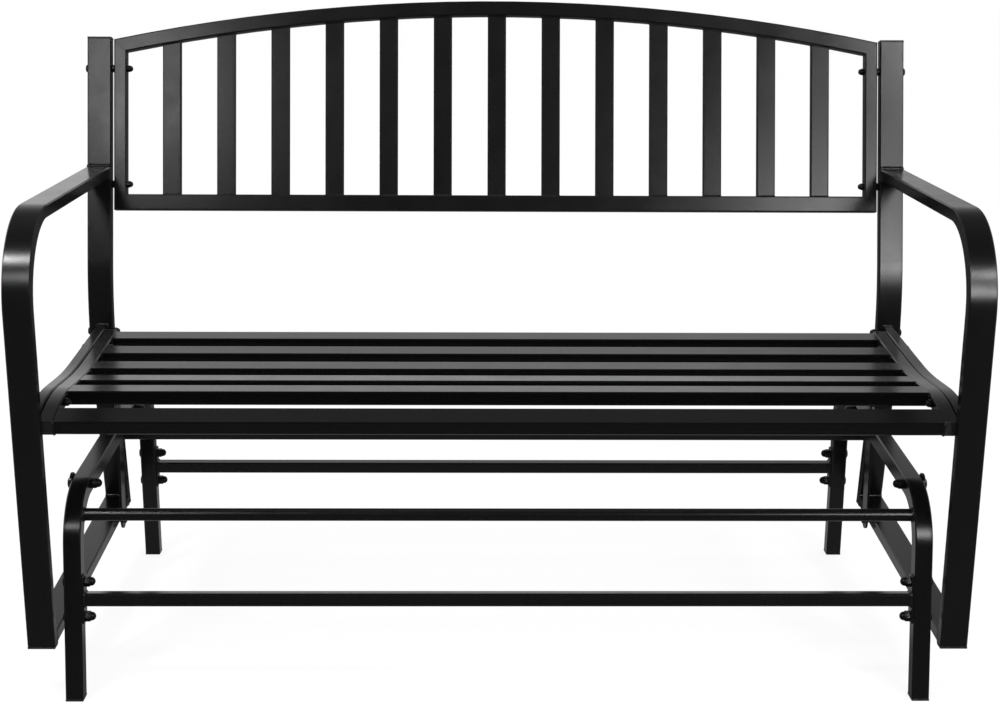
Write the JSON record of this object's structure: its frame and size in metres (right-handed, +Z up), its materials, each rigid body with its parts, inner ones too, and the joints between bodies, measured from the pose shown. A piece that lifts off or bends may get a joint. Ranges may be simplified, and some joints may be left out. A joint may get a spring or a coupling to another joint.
{
  "type": "glider bench",
  "caption": "Two-seat porch glider: a slatted steel bench seat hung on flat swing links from a low tube base, so it glides to and fro and stays level.",
  "frame": {"origin": "centre of the footprint, on the floor", "axes": "+Z up, +Y towards the back, +X along the bench to the right as seen from the front"},
  "size_m": [1.2772, 0.6729, 0.9209],
  "materials": {
    "paint": "satin black powder coat",
    "hardware": "black plated steel, semi-gloss",
    "plastic": "moulded black plastic, matt"
  },
  "bodies": {
    "base": {"base_side_frame_left": "paint", "base_side_frame_right": "paint", "front_crossbar": "paint", "rear_crossbar": "paint", "upper_cross_tube": "paint", "crossbar_end_plates": "paint", "base_foot_plugs": "plastic", "crossbar_bolts": "hardware", "base_cap_nuts": "hardware", "upper_pivot_bolts": "hardware"},
    "link_front_left": {"hanger_link_front_left": "paint", "link_bushes_front_left": "plastic"},
    "link_front_right": {"hanger_link_front_right": "paint", "link_bushes_front_right": "plastic"},
    "link_rear_left": {"hanger_link_rear_left": "paint", "link_bushes_rear_left": "plastic"},
    "link_rear_right": {"hanger_link_rear_right": "paint", "link_bushes_rear_right": "plastic"},
    "seat": {"arm_tube_left": "paint", "arm_tube_right": "paint", "back_bolts": "hardware", "back_bottom_rail": "paint", "back_side_tube_left": "paint", "back_side_tube_right": "paint", "back_slat_1": "paint", "back_slat_10": "paint", "back_slat_11": "paint", "back_slat_12": "paint", "back_slat_13": "paint", "back_slat_2": "paint", "back_slat_3": "paint", "back_slat_4": "paint", "back_slat_5": "paint", "back_slat_6": "paint", "back_slat_7": "paint", "back_slat_8": "paint", "back_slat_9": "paint", "back_top_rail": "paint", "frame_end_plugs": "plastic", "lower_pivot_bolts": "hardware", "lower_pivot_bosses": "hardware", "lower_rail_left": "paint", "lower_rail_right": "paint", "outer_seat_rail_left": "paint", "outer_seat_rail_right": "paint", "rear_post_left": "paint", "rear_post_right": "paint", "rear_stretcher": "paint", "seat_bolts": "hardware", "seat_cap_nuts": "hardware", "seat_side_rail_left": "paint", "seat_side_rail_right": "paint", "seat_slat_1": "paint", "seat_slat_2": "paint", "seat_slat_3": "paint", "seat_slat_4": "paint", "seat_slat_5": "paint", "seat_slat_6": "paint", "seat_spacers": "hardware"}
  },
  "joints": [
    {"name": "glide", "type": "hinge", "parent": "base", "child": "link_front_left", "pos_m": [-0.591, -0.1825, 0.2745], "axis": [1, 0, 0], "range_deg": [-15, 15]},
    {"name": "seat_level", "type": "hinge", "parent": "link_front_left", "child": "seat", "pos_m": [-0.591, -0.1825, 0.0945], "axis": [1, 0, 0], "range_deg": [-15, 15]},
    {"name": "swing_front_right", "type": "hinge", "parent": "base", "child": "link_front_right", "pos_m": [0.591, -0.1825, 0.2745], "axis": [1, 0, 0], "range_deg": [-15, 15]},
    {"name": "swing_rear_left", "type": "hinge", "parent": "base", "child": "link_rear_left", "pos_m": [-0.591, 0.1545, 0.29472], "axis": [1, 0, 0], "range_deg": [-15, 15]},
    {"name": "swing_rear_right", "type": "hinge", "parent": "base", "child": "link_rear_right", "pos_m": [0.591, 0.1545, 0.29472], "axis": [1, 0, 0], "range_deg": [-15, 15]}
  ],
  "couplings": [
    {"joint": "seat_level", "follows": "glide", "ratio": -1},
    {"joint": "swing_front_right", "follows": "glide", "ratio": 1},
    {"joint": "swing_rear_left", "follows": "glide", "ratio": 1},
    {"joint": "swing_rear_right", "follows": "glide", "ratio": 1}
  ]
}
